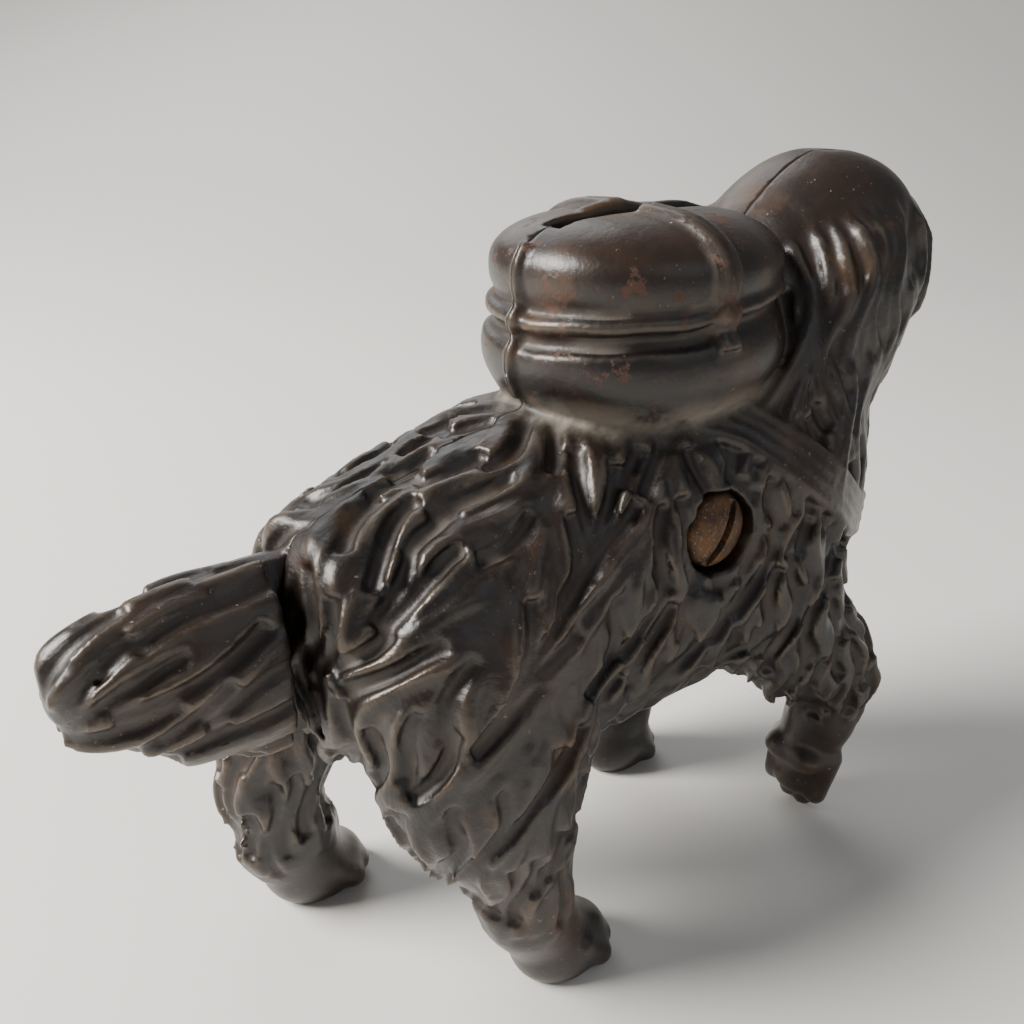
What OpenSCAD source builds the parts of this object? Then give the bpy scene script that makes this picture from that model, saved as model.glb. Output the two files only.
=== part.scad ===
// Still bank: a walking long-haired dog with a strapped pack on its back.
// Two iron half castings meet on the plane Y = 0 and one machine screw holds them together.
// +X is the way the dog faces, +Y its left side, +Z up, and the soles stand on Z = 0.

/* [Overall] */
// Length from the tip of the tail to the tip of the muzzle
overall_l = 127; // [100:1:160]
// Width over the feet
overall_w = 44; // [36:1:56]
// Height from the soles to the crown of the head
overall_h = 95; // [78:1:118]

/* [Casting] */
// Thickness of the iron wall
wall = 3; // [2.4:0.1:3.8]
// Gap between the tail and the rim of the right half
tail_gap = 0.8; // [0.5:0.1:1.5]

/* [Pack] */
// Length of the pack along the back
pack_l = 36; // [30:0.5:44]
// Width of the pack over the belt
pack_w = 32; // [26:0.5:39]
// Height of the pack above the back
pack_h = 21; // [17:0.5:26]
// How far the belt stands proud of the pack
belt_proud = 1; // [0.6:0.1:1.5]
// Height of the belt
belt_h = 2.8; // [2.2:0.1:4.4]

/* [Coin slot] */
// Length of the coin slot along the parting line
slot_l = 25; // [20:0.5:30]
// Width of the coin slot across both halves
slot_w = 2.8; // [2:0.1:3.6]

/* [Screw] */
// Outside diameter of the screw thread
screw_d = 4.8; // [4:0.1:5.8]
// Length of thread that holds in the left half
thread_grip = 12; // [9:0.5:15]
// Diameter of the round head
head_d = 9.2; // [8:0.1:11]
// Height of the round head
head_h = 2.9; // [2.3:0.1:3.5]
// Width of the driver slot
driver_w = 1.2; // [0.8:0.1:1.6]
// Depth of the driver slot
driver_deep = 1.3; // [0.8:0.1:1.7]
// Angle of the driver slot when the screw is tight
driver_turn = 62; // [0:1:179]
// Radial clearance of the screw in the tapped hole
thread_clear = 0.05; // [0.02:0.01:0.1]
// Radial clearance of the screw in the right half
shank_clear = 0.2; // [0.1:0.05:0.4]
// How far the crown of the head lies inside the flank
head_sunk = 1; // [0.6:0.1:2.4]
// Radial clearance of the head in its recess
recess_clear = 0.4; // [0.3:0.1:1]
// Thickness of metal round each screw hole
boss_wall = 3.2; // [2.4:0.1:4]
// Thickness of metal round the recess
recess_wall = 2.2; // [1.8:0.1:3]

/* [Locating lugs] */
// Length of a lug along the rim
lug_l = 7; // [5:0.5:9]
// Thickness of a lug
lug_t = 2; // [1.5:0.1:2.6]
// How far a lug reaches into the right half
lug_proud = 3; // [2:0.1:4]
// Gap between a lug and the wall of the right half
lug_clear = 0.4; // [0.3:0.05:0.7]

/* [Hidden] */
$fn = 64;

// Scale of the sculpted stations, which are written for a dog of 127 x 44 x 95
sx = overall_l / 127;
sy = overall_w / 44;
sz = overall_h / 95;
fullness = 0.84;            // how square the sections are
fuse = 0.6;                 // how far fused pieces sink into each other
big = 400;                  // larger than the whole bank

// Stations of each form: x, y, z, half-width across, half-height along the form
body_st = [[-36.5, 0, 48.3, 12.5, 14], [-25, 0, 48.2, 18, 17.2], [-16, 0, 48.3, 19.2, 19.7],
           [-5, 0, 49, 19.8, 21.3], [6, 0, 49.6, 20.2, 21.6], [16, 0, 50.6, 20.3, 22],
           [26, 0, 51.6, 19.8, 23], [33, 0, 52.4, 17.4, 22], [39.5, 0, 52.4, 14, 19.5],
           [44, 0, 52, 10, 15.5]];
body_dome = [4.5, 4];       // depth of the rounded rump and chest
neck_st = [[22, 0, 58, 15, 16.5], [28, 0, 67, 14.5, 15.5], [34, 0, 75, 13.2, 14], [37, 0, 79, 12.6, 13]];
neck_dome = [4, 6];
skull_st = [[27, 0, 79.5, 9.6, 8.6], [32, 0, 81.6, 12, 10.8], [38.5, 0, 83, 13, 12],
            [44.5, 0, 82.8, 12.9, 11.7], [49.5, 0, 81.4, 10.8, 10]];
skull_dome = [4, 3];
muzzle_st = [[47, 0, 77.2, 7.5, 8.8], [53, 0, 75.4, 6.6, 7.8], [58.5, 0, 74.6, 6, 6.8]];
muzzle_dome = [3, 5];
ear_c = [35.2, 13.4, 75.8];
ear_r = [8.6, 3.2, 11.6];
tail_st = [[-35, 0, 48.8, 6, 10.6], [-42, 0, 48.6, 6.8, 11.2], [-51, 0, 50, 6.6, 10], [-58, 0, 51.2, 5.2, 8]];
tail_dome = [3, 5.5];

// Legs, from the body to the sole, for the side that each stands on
hind_right_st = [[-23.5, 12.5, 45, 8.6, 14.5], [-23, 14, 34, 8, 13.6], [-21.8, 14.8, 26, 6.6, 9.6],
                 [-20.3, 15, 20, 5.6, 6.2], [-19, 15.2, 13, 5.3, 5.8], [-16.5, 15.6, 6, 5.6, 6.4]];
hind_right_foot = [-13.5, 15.8, 3.4];
hind_left_st = [[-25.5, 12.5, 46, 8.6, 13], [-30, 14, 36, 8, 10.6], [-35, 14.6, 27.5, 7, 8.2],
                [-37.6, 14.8, 20.5, 6, 6.8], [-36.8, 15, 13, 5.5, 6.2], [-34.5, 15.2, 6, 5.6, 6.4]];
hind_left_foot = [-31.5, 15.4, 3.4];
fore_left_st = [[26, 12, 50, 7.5, 12], [25.5, 13.6, 36, 6.6, 8.6], [23, 13, 24, 5.4, 6.2],
                [20, 12, 12, 5, 5.2], [19.5, 11.8, 6, 5.4, 5.6]];
fore_left_foot = [20.5, 11.6, 3.4];
fore_right_st = [[20, 12, 54, 7.5, 11], [21.5, 14, 42, 7, 10.6], [27, 15, 33.5, 6.6, 9], [33, 15.3, 28.5, 6.3, 7.6],
                 [38.6, 15.3, 23.6, 5.8, 5.6], [37.4, 15, 16.5, 5.4, 4.8], [34.6, 15, 10, 6.3, 5], [34, 15, 4.6, 6.2, 5]];
limb_dome = [9, 4];         // blend into the trunk, and toes
foot_r = [7.5, 6.2, 5.6];

rump_x = -36.5 * sx - body_dome[0];   // rearmost plane of the rump
back_z = 69 * sz;                   // top of the back under the pack
pack_x = 7.2 * sx;                  // middle of the pack along the back
belt_z = back_z + 0.49 * pack_h;    // lower edge of the belt
slot_x = pack_x + 0.8;              // middle of the coin slot
screw_x = 6.4 * sx;
screw_z = 56 * sz;
flank_y = 20 * sy;                  // flank of each half at the screw
crown_y = flank_y - head_sunk;      // crown of the screw head
seat_y = crown_y - head_h;          // floor of the recess
crown_r = 1.1 * head_d;             // radius of the domed crown
recess_d = head_d + 2 * recess_clear;
boss_gap = 0.3;                     // the bosses stop short, so that the rims close first
pad_deep = 3;                       // metal behind the floor of the recess
hole_spare = 1.5;                   // the tapped hole runs on beyond the tip
lug_sites = [[-17, 1], [2, -1], [37, -1]];  // place along the body, and back (1) or belly (-1)

// Vector helpers
function unit(v) = v / norm(v);
function scaled(s) = [s[0] * sx, s[1] * sy, s[2] * sz, s[3] * sy, s[4] * sz];

// Direction of a row of stations at station i, in the plane Y = 0
function heading(st, i) = let (a = st[max(i - 1, 0)], b = st[min(i + 1, len(st) - 1)])
    unit([b[0] - a[0], 0, b[2] - a[2]]);

// Rounded-square curve: an ellipse at full = 1, squarer as full falls
function soft(v, full) = sign(v) * pow(abs(v), full);

// One ring of points about c, a across and b along the form's own upright
function ring(c, a, b, dir, k) = [for (i = [0:k - 1]) let (t = 360 * i / k)
    c + [0, a * soft(cos(t), fullness), 0] + [-dir[2], 0, dir[0]] * b * soft(sin(t), fullness)];

// Rings that round off one end, from the tip inwards
function dome(s, dir, deep, inset, k) = [for (u = [75, 50, 25])
    ring([s[0], s[1], s[2]] + dir * (deep - inset) * sin(u),
         (s[3] - inset) * cos(u), (s[4] - inset) * cos(u), dir, k)];

// Closed solid through a row of stations, each surface moved in by inset
module form(stations, domes, inset = 0, k = 16) {
    st = [for (s = stations) scaled(s)];
    last = len(st) - 1;
    first_dir = heading(st, 0);
    last_dir = heading(st, last);
    head_rings = [for (r = dome(st[0], -first_dir, domes[0], inset, k)) [for (i = [k:-1:1]) r[i % k]]];
    tail_rings = dome(st[last], last_dir, domes[1], inset, k);
    rings = concat(
        head_rings,
        [for (i = [0:last]) ring([st[i][0], st[i][1], st[i][2]], st[i][3] - inset, st[i][4] - inset, heading(st, i), k)],
        [for (i = [2:-1:0]) tail_rings[i]]);
    n = len(rings);
    polyhedron([for (r = rings) each r], concat(
        [[for (i = [0:k - 1]) i]],
        [for (j = [0:n - 2], i = [0:k - 1]) let (a = j * k + i, b = j * k + (i + 1) % k) [a, a + k, b]],
        [for (j = [0:n - 2], i = [0:k - 1]) let (a = j * k + i, b = j * k + (i + 1) % k) [b, a + k, b + k]],
        [[for (i = [k - 1:-1:0]) (n - 1) * k + i]]));
}

// Egg-shaped solid
module egg(c, r, inset = 0) {
    translate([c[0] * sx, c[1] * sy, c[2] * sz])
        scale([r[0] * sx - inset, r[1] * sy - inset, r[2] * sz - inset]) sphere(1, $fn = 20);
}

// Outline of the pack at one level: long sides nearly straight, ends full and round
function pack_ring(z, grow, k) = [for (i = [0:k - 1]) let (t = 360 * i / k, c = cos(t), s = sin(t))
    [pack_x + (pack_l / 2 - belt_proud + grow) * soft(c, fullness),
     (pack_w / 2 - belt_proud + grow) * soft(s, fullness), z]];

// The pack: lower roll, belt round it, domed upper roll
module pack(inset = 0, k = 28) {
    top = back_z + pack_h;
    levels = inset > 0
        ? [[back_z - 6, -inset - 3], [belt_z, -inset], [top - 7, -inset - 1], [top - inset, -inset - 8]]
        : [[back_z - 3, -3], [back_z + 1.5, 0], [belt_z - 4, 0.8], [belt_z - 0.6, -0.4], [belt_z, belt_proud],
           [belt_z + belt_h - 0.8, belt_proud], [belt_z + belt_h, -0.2], [top - 4.5, -0.8], [top - 1.5, -3.6],
           [top, -9]];
    n = len(levels);
    polyhedron([for (l = levels) each pack_ring(l[0], l[1], k)], concat(
        [[for (i = [0:k - 1]) i]],
        [for (j = [0:n - 2], i = [0:k - 1]) let (a = j * k + i, b = j * k + (i + 1) % k) [a, a + k, b]],
        [for (j = [0:n - 2], i = [0:k - 1]) let (a = j * k + i, b = j * k + (i + 1) % k) [b, a + k, b + k]],
        [[for (i = [k - 1:-1:0]) (n - 1) * k + i]]));
}

// Side of the parting plane: +1 left, -1 right
module half_space(side) translate([0, side * big / 2, 0]) cube(big, center = true);

// Trunk, neck and head, common to both halves
module trunk(inset = 0) {
    form(body_st, body_dome, inset, 24);
    form(neck_st, neck_dome, inset, 20);
    form(skull_st, skull_dome, inset, 20);
}

module ears() {
    egg(ear_c, ear_r);
    egg([ear_c[0], -ear_c[1], ear_c[2]], ear_r);
}

// Legs of one side, cut off flat at the soles
module legs(side) {
    above_floor() mirror([0, side < 0 ? 1 : 0, 0]) {
        form(side > 0 ? hind_left_st : hind_right_st, limb_dome, 0, 14);
        egg(side > 0 ? hind_left_foot : hind_right_foot, foot_r);
        form(side > 0 ? fore_left_st : fore_right_st, limb_dome, 0, 14);
        if (side > 0) egg(fore_left_foot, foot_r);
    }
}

module above_floor() intersection() {
    children();
    translate([0, 0, big / 2]) cube(big, center = true);
}

// Hollow that holds the coins, open between pack, body and head
module coin_space() {
    trunk(wall);
    pack(wall);
}

// Both halves of the coin slot
module coin_slot() translate([slot_x, 0, back_z + pack_h]) cube([slot_l, slot_w, 3 * wall], center = true);

// The tail belongs to the left half and stands clear of the right rim
module tail() difference() {
    form(tail_st, tail_dome, 0, 16);
    translate([rump_x - tail_gap, -big, 0]) cube(big);
}
module tail_root() intersection() {
    form(tail_st, tail_dome, 0, 16);
    half_space(1);
}

// Cast lugs of the left half that slip inside the rim of the right half
module lugs() for (p = lug_sites) lug(p[0] * sx, p[1]);

module lug(x, up) {
    module band(inset, y, w) intersection() {
        difference() {
            form(body_st, body_dome, inset, 24);
            form(body_st, body_dome, wall + lug_clear + lug_t, 24);
        }
        translate([x - lug_l / 2, y, up > 0 ? screw_z : screw_z - big]) cube([lug_l, w, big]);
    }
    band(wall - fuse, 0, 2 * lug_proud);
    band(wall + lug_clear, -lug_proud, lug_proud + fuse);
}

// Round bar or hole along the screw's axis, from y0 to y1
module along_screw(y0, y1, d) translate([screw_x, min(y0, y1), screw_z]) rotate([-90, 0, 0])
    cylinder(h = abs(y1 - y0), d = d);

// Pillars that the screw draws together
module left_boss() along_screw(boss_gap, flank_y - wall / 2, screw_d + 2 * boss_wall);
module right_boss() intersection() {
    union() {
        along_screw(-boss_gap, -seat_y, screw_d + 2 * boss_wall);
        along_screw(pad_deep - seat_y, -flank_y, recess_d + 2 * recess_wall);
    }
    form(body_st, body_dome, fuse, 24);
}

// Sculpted iron of one side, before the screw holes
module casting(side) resize([0, 0, 0]) {
    difference() {
        intersection() {
            union() {
                trunk();
                pack();
                ears();
                form(muzzle_st, muzzle_dome, 0, 16);
                legs(side);
            }
            half_space(side);
        }
        coin_space();
        coin_slot();
    }
    if (side > 0) {
        tail();
        tail_root();
        lugs();
        left_boss();
    } else right_boss();
}

module left_half() color("#3a332c") difference() {
    casting(1);
    along_screw(-lug_proud, thread_grip + hole_spare, screw_d + 2 * thread_clear);
}

module right_half() color("#3a332c") difference() {
    casting(-1);
    along_screw(0, -flank_y, screw_d + 2 * shank_clear);
    along_screw(-seat_y, -2 * flank_y, recess_d);
}

// Slotted round-head machine screw
module assembly_screw() color("#6e5a44") difference() {
    union() {
        along_screw(thread_grip, -seat_y, screw_d);
        intersection() {
            along_screw(-seat_y, -crown_y, head_d);
            translate([screw_x, crown_r - crown_y, screw_z]) sphere(r = crown_r);
        }
    }
    translate([screw_x, -crown_y, screw_z]) rotate([0, driver_turn, 0])
        cube([2 * head_d, 2 * driver_deep, driver_w], center = true);
}

left_half();
right_half();
assembly_screw();
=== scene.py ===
import math

import bmesh
import bpy
import numpy as np
import openvdb as vdb
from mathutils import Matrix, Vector


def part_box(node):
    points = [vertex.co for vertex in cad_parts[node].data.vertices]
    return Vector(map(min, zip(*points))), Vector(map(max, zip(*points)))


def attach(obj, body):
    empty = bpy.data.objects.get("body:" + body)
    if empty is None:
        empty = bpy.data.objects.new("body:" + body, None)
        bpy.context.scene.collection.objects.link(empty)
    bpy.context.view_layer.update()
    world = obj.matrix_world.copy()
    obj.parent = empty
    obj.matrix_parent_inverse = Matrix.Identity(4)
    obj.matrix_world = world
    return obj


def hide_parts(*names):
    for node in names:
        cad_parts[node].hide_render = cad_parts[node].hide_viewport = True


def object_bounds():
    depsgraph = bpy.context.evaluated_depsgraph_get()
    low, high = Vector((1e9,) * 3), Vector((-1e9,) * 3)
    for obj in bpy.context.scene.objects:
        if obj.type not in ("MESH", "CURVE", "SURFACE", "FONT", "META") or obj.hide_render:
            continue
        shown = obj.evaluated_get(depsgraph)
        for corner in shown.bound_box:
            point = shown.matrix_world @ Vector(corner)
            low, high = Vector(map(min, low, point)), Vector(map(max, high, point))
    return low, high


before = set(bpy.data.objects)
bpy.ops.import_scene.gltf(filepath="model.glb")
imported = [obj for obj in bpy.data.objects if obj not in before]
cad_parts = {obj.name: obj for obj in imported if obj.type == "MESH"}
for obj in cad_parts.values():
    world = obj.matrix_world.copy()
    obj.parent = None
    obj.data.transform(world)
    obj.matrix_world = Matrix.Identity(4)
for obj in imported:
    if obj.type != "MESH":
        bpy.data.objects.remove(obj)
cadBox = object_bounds()

# The castings are sculpted in millimetres on one grid of distances, like clay,
# and are cast from it as meshes in metres at the end.
mm = 0.001
screwLow, screwHigh = (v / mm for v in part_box("assembly_screw"))
screwX, screwZ = (screwLow[0] + screwHigh[0]) / 2, (screwLow[2] + screwHigh[2]) / 2
headTop = screwLow[1]
headHigh = 2.9
seat = headTop + headHigh                    # where the head bears on the right half
boxSize = (cadBox[1] - cadBox[0]) / mm

clay = {
    "cell": 0.36,         # width of a grid cell
    "margin": 3.0,                          # empty cells round the bank, in mm
    "far": 6.0,                             # distances are kept up to this
    "power": 2.38,                          # how square the rounded sections are
}
cell = clay["cell"]
far = clay["far"]
gridLow = np.array(cadBox[0]) / mm - clay["margin"]
gridShape = tuple(int(n) for n in np.ceil((np.array(boxSize) + 2 * clay["margin"]) / cell) + 1)


def emptyField():
    return np.full(gridShape, far, np.float32)


def axesOf(lo, hi, pad):
    first = np.clip(np.floor((np.array(lo) - pad - gridLow) / cell).astype(int), 0, gridShape)
    last = np.clip(np.ceil((np.array(hi) + pad - gridLow) / cell).astype(int) + 1, 0, gridShape)
    x, y, z = (gridLow[i] + cell * np.arange(first[i], last[i], dtype=np.float32) for i in range(3))
    part = tuple(slice(a, b) for a, b in zip(first, last))
    return part, x[:, None, None], y[None, :, None], z[None, None, :]


wholeX, wholeY, wholeZ = axesOf(gridLow, gridLow + cell * np.array(gridShape), 0)[1:]


def smoothMin(a, b, k):
    if k <= 0:
        return np.minimum(a, b)
    h = np.maximum(k - np.abs(a - b), 0) / k
    return np.minimum(a, b) - h * h * k / 4


def smoothMax(a, b, k):
    return -smoothMin(-a, -b, k)


def add(field, shape, k=1.5):
    lo, hi, distance = shape
    part, x, y, z = axesOf(lo, hi, k + 1.5)
    field[part] = smoothMin(field[part], distance(x, y, z), k)


def carve(field, shape, k=0.4):
    lo, hi, distance = shape
    part, x, y, z = axesOf(lo, hi, k + 1.5)
    field[part] = smoothMax(field[part], -distance(x, y, z), k)


def bar(p, q, rp, rq, flat=(1, 1)):
    # tapered round bar; flat above 1 makes it narrower across (along Y) at either end
    p, q = np.array(p, float), np.array(q, float)
    d = q - p
    long2 = float(d @ d) or 1e-9

    def distance(x, y, z):
        t = np.clip(((x - p[0]) * d[0] + (y - p[1]) * d[1] + (z - p[2]) * d[2]) / long2, 0, 1)
        side = flat[0] + (flat[1] - flat[0]) * t
        return np.sqrt((x - p[0] - d[0] * t) ** 2 + ((y - p[1] - d[1] * t) * side) ** 2
                       + (z - p[2] - d[2] * t) ** 2) - (rp + (rq - rp) * t)
    r = max(rp, rq)
    return np.minimum(p, q) - r, np.maximum(p, q) + r, distance


def egg(c, r):
    c, r = np.array(c, float), np.array(r, float)

    def distance(x, y, z):
        u, v, w = (x - c[0]) / r[0], (y - c[1]) / r[1], (z - c[2]) / r[2]
        near = np.sqrt(u * u + v * v + w * w) + 1e-6
        slope = np.sqrt((u / r[0]) ** 2 + (v / r[1]) ** 2 + (w / r[2]) ** 2) + 1e-6
        return near * (near - 1) / slope
    return c - r, c + r, distance


def limb(field, stations, side=1, k=2.0):
    # stations: x, y, z, half-width across, half-depth
    for a, b in zip(stations[:-1], stations[1:]):
        add(field, bar((a[0], side * a[1], a[2]), (b[0], side * b[1], b[2]), a[4], b[4],
                       (a[4] / a[3], b[4] / b[3])), k)


def curveThrough(keys, at):
    # smooth curve through (position, value) keys
    x, y = (np.array(v, float) for v in zip(*keys))
    order = np.argsort(x)
    x, y = x[order], y[order]
    slope = np.gradient(y, x)
    i = np.clip(np.searchsorted(x, at) - 1, 0, len(x) - 2)
    w = x[i + 1] - x[i]
    t = np.clip((at - x[i]) / w, 0, 1)
    return ((1 + 2 * t) * (1 - t) ** 2 * y[i] + t * (1 - t) ** 2 * w * slope[i]
            + t * t * (3 - 2 * t) * y[i + 1] - t * t * (1 - t) * w * slope[i + 1])


def loft(stations, domes):
    # squarish sections along X: x, centre z, half-width, half-height; both ends domed
    xs = [s[0] for s in stations]
    n = clay["power"]

    def distance(x, y, z):
        mid, wide, high = (curveThrough([(s[0], s[i]) for s in stations], x) for i in (1, 2, 3))
        over = np.maximum((xs[0] - x) / domes[0], 0) + np.maximum((x - xs[-1]) / domes[1], 0)
        section = (np.abs(y / wide) ** n + np.abs((z - mid) / high) ** n) ** (1 / n)
        return (np.sqrt(section ** 2 + over ** 2) - 1) * np.minimum(wide, high) * 0.8
    reach = max(s[3] for s in stations)
    low = (xs[0] - domes[0], -reach, min(s[1] - s[3] for s in stations))
    top = (xs[-1] + domes[1], reach, max(s[1] + s[3] for s in stations))
    return low, top, distance


def surfaceOf(field):
    grid = vdb.FloatGrid(far)
    grid.copyFromArray(np.clip(field, -far, far))
    points, triangles, quads = grid.convertToPolygons(isovalue=0.0, adaptivity=0.0)
    return points, triangles, quads


def distanceTo(points, triangles, quads=None):
    # true distances, in mm, from a closed surface given in grid cells
    given = {"points": points.astype(np.float32), "triangles": triangles.astype(np.uint32)}
    if quads is not None:
        given["quads"] = quads.astype(np.uint32)
    grid = vdb.FloatGrid.createLevelSetFromPolygons(
        transform=vdb.createLinearTransform(voxelSize=1.0), halfWidth=far / cell, **given)
    out = np.empty(gridShape, np.float32)
    grid.copyToArray(out)
    return out * cell


def settle(field):
    return distanceTo(*surfaceOf(field))


def sample(field, at):
    g = (at - gridLow) / cell
    g = np.clip(g, 0, np.array(gridShape) - 1.001)
    i = g.astype(int)
    f = g - i
    out = 0
    for dx in (0, 1):
        for dy in (0, 1):
            for dz in (0, 1):
                weight = (np.abs(1 - dx - f[:, 0]) * np.abs(1 - dy - f[:, 1]) * np.abs(1 - dz - f[:, 2]))
                out = out + weight * field[i[:, 0] + dx, i[:, 1] + dy, i[:, 2] + dz]
    return out


def outward(field, at):
    step = np.eye(3) * 1.5 * cell
    n = np.stack([sample(field, at + s) - sample(field, at - s) for s in step], 1)
    return n / (np.linalg.norm(n, axis=1, keepdims=True) + 1e-9)


def blurred(field, reach):
    for axis in range(3):
        total = field.copy()
        for s in range(1, reach + 1):
            total += np.roll(field, s, axis) + np.roll(field, -s, axis)
        field = total / (2 * reach + 1)
    return field


dog = {
    # x, centre z, half-width, half-height
    "trunk": [(-36.5, 48.3, 12.5, 14), (-25, 48.2, 18, 17.2), (-16, 48.3, 19.2, 19.7), (-5, 49, 19.8, 21.3),
              (6, 49.6, 20.2, 21.6), (16, 50.6, 20.3, 22), (26, 51.6, 19.8, 23), (33, 52.4, 17.4, 22),
              (39.5, 52.4, 14, 19.5), (44, 52, 10, 15.5)],
    "trunkEnds": (4, 4),
    # x, y, z, half-width across, half-depth
    "neck": [(22, 0, 58, 15, 16.5), (28, 0, 67, 14.5, 15.5), (34, 0, 75, 13.2, 14), (37, 0, 79, 12.6, 13)],
    "skull": [(28.5, 79.5, 8.8, 7.6), (33, 81.6, 11.2, 10.2), (38.8, 83, 12.5, 11.9),
              (44.5, 82.8, 12.6, 11.7), (49.5, 81.4, 10.8, 10)],
    "skullEnds": (4, 3),
    "muzzle": [(47, 0, 77.2, 7.5, 8.4), (53, 0, 75.6, 6.6, 7.6), (58, 0, 75.2, 5.8, 6.4)],
    "tail": [(-33, 0, 48.8, 6, 10.6), (-42, 0, 48.6, 6.8, 11), (-50, 0, 49.8, 6.6, 9.6),
             (-56.5, 0, 51.2, 5.3, 6.9), (-58, 0, 51.4, 5, 6.3)],
    "hindRight": [(-23.5, 12.5, 45, 8.6, 14), (-23, 14, 34, 8, 12.8), (-21.8, 14.8, 26, 6.6, 9.2),
                  (-20.3, 14.8, 20, 5.4, 6.0), (-18.8, 14.8, 13, 5.0, 5.4), (-15.8, 14.8, 6.5, 4.8, 5.2)],
    "hindRightFoot": (-12.6, 14.9),
    "hindLeft": [(-25.5, 12.5, 46, 8.6, 13), (-30, 14, 36, 8, 10.6), (-35, 14.6, 27.5, 7, 8.2),
                 (-37.6, 14.8, 20.5, 6, 6.8), (-36.8, 15, 13, 5.5, 6.2), (-34.5, 15.2, 6, 5.6, 6)],
    "hindLeftFoot": (-31.5, 15.4),
    "foreLeft": [(26, 12, 50, 7.5, 12), (25.5, 13.6, 36, 6.6, 8.6), (23, 13, 24, 5.4, 6.2),
                 (20, 12, 12, 5, 5.2), (19.5, 11.8, 6, 5.4, 5.6)],
    "foreLeftFoot": (20.5, 11.6),
    "foreRight": [(20, 12, 54, 7.5, 11), (21.5, 14, 42, 7, 10.6), (27, 15, 33.5, 6.6, 9),
                  (33, 15.3, 28.5, 6.3, 7.6), (38.2, 15, 23.6, 5.6, 5.2), (37.2, 14.2, 16.5, 5.0, 4.4),
                  (35.6, 13.4, 10.5, 4.8, 4.0)],
    "ear": ((35.0, 12.6, 75.6), (8.0, 3.0, 11.0)),
}

pack = {
    "middle": 8.1,          # along the back
    "bottom": 69.0,
    "top": 90.0,
    "length": 36.0,
    "width": 32.0,
    "belt": 80.7,           # height of the belt's middle
    "beltRadius": 1.6,
    "strapAt": 7.0,         # place of the cross strap along the back
    "square": 2.25,
}

face = {
    "eye": (49.6, 5.9, 83.4),
    "nose": (61.4, 0, 78.4),
}


def buildFoot(field, place, side):
    x, y = place
    add(field, egg((x - 0.8, side * y, 3.2), (6.6, 5.2, 4.7)), 1.5)
    for across, ahead, r in ((-3.7, 2.6, 1.8), (-1.3, 4.3, 2.0), (1.3, 4.3, 2.0), (3.7, 2.6, 1.8)):
        toe = side * y + across
        add(field, bar((x - 1 + ahead * 0.3, toe, 5.0), (x + ahead, toe, 2.1), 1.9, r), 0.6)


def buildBentPaw(field, side):
    # toes that hang down from the folded wrist, two pads behind it and one under it
    middle = side * 13.2
    for across in (-3.8, -1.3, 1.3, 3.8):
        tip = (35.6 - 0.07 * across ** 2, middle + across, 1.75 + 0.17 * across ** 2)
        add(field, bar((36.2, middle + across, 10), tip, 2.3, 1.7), 0.6)
    for across in (-2.3, 2.4):
        add(field, egg((33.2, middle + across, 10.2), (2.1, 2.6, 2.3)), 0.8)
    add(field, egg((33.6, middle, 5.2), (1.8, 3.2, 2.2)), 0.8)
    add(field, egg((35.8, side * 13.4, 10), (4.2, 5.2, 4.6)), 1)


def buildFace(field):
    limb(field, dog["muzzle"], k=2.5)
    for s in (-1, 1):
        add(field, egg((53.5, s * 3.9, 71.8), (6, 2.4, 4.3)), 1.6)
        add(field, egg((44.5, s * 8.6, 76), (6, 3.6, 6.5)), 3)
        add(field, egg((47.6, s * 5.8, 87), (3.2, 3.4, 1.9)), 2)
        x, y, z = face["eye"]
        carve(field, egg((x + 0.9, s * y, z), (2, 2.5, 1.9)), 1)
        add(field, egg((x - 0.4, s * (y - 0.2), z), (1.9, 2, 1.6)), 0.2)
        carve(field, bar((62, s * 1.0, 72.6), (57.5, s * 5.4, 68.6), 0.35, 0.45), 0.3)
        carve(field, bar((57.5, s * 5.4, 68.6), (48, s * 7.4, 70), 0.45, 0.35), 0.3)
    add(field, egg((52.5, 0, 69.2), (6.5, 3.9, 3)), 1.2)
    x, y, z = face["nose"]
    add(field, egg((x - 0.4, 0, z), (2.3, 3.1, 2.3)), 0.5)
    for s in (-1, 1):
        carve(field, egg((x + 1.7, s * 1.5, z), (0.9, 0.75, 0.7)), 0.3)
    carve(field, bar((63, 0, 76.4), (62, 0, 72.6), 0.3, 0.3), 0.3)


def buildPack(field, inset=0.0):
    a = pack["length"] / 2 - 0.9
    b = pack["width"] / 2 - 0.8
    n = pack["square"]
    # how far the side stands out at each height
    bottom = pack["bottom"]
    levels = [(bottom - 3, -3.5), (bottom + 1.2, -0.4), (73.2, 1.0), (76.6, 1.0), (78.6, 0.2), (80.5, -0.5),
              (83, 0.2), (86, -0.1), (88.4, -1.8), (pack["top"] + 0.5, -4.6)]

    def distance(x, y, z):
        grow = curveThrough(levels, z) - inset
        section = (np.abs((x - pack["middle"]) / (a + grow)) ** n + np.abs(y / (b + grow)) ** n) ** (1 / n)
        dome = pack["top"] - inset - 0.0022 * ((x - pack["middle"]) ** 2) - 0.006 * y * y
        side = (section - 1) * (b + grow) * 0.9
        return smoothMax(smoothMax(side, z - dome, 3.5), bottom - 3 - z, 1)
    low = (pack["middle"] - a - 2, -b - 2, pack["bottom"] - 4)
    high = (pack["middle"] + a + 2, b + 2, pack["top"] + 1)
    add(field, (low, high, distance), 0.5 if inset == 0 else 0)


def buildTrunk(field):
    add(field, loft(dog["trunk"], dog["trunkEnds"]), 0)
    limb(field, dog["neck"], k=4)
    add(field, loft(dog["skull"], dog["skullEnds"]), 4)


print("sculpting the trunk, head and pack", gridShape)
trunk = emptyField()
buildTrunk(trunk)
trunk = settle(trunk)
packField = emptyField()
buildPack(packField)
packField = settle(packField)

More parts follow.
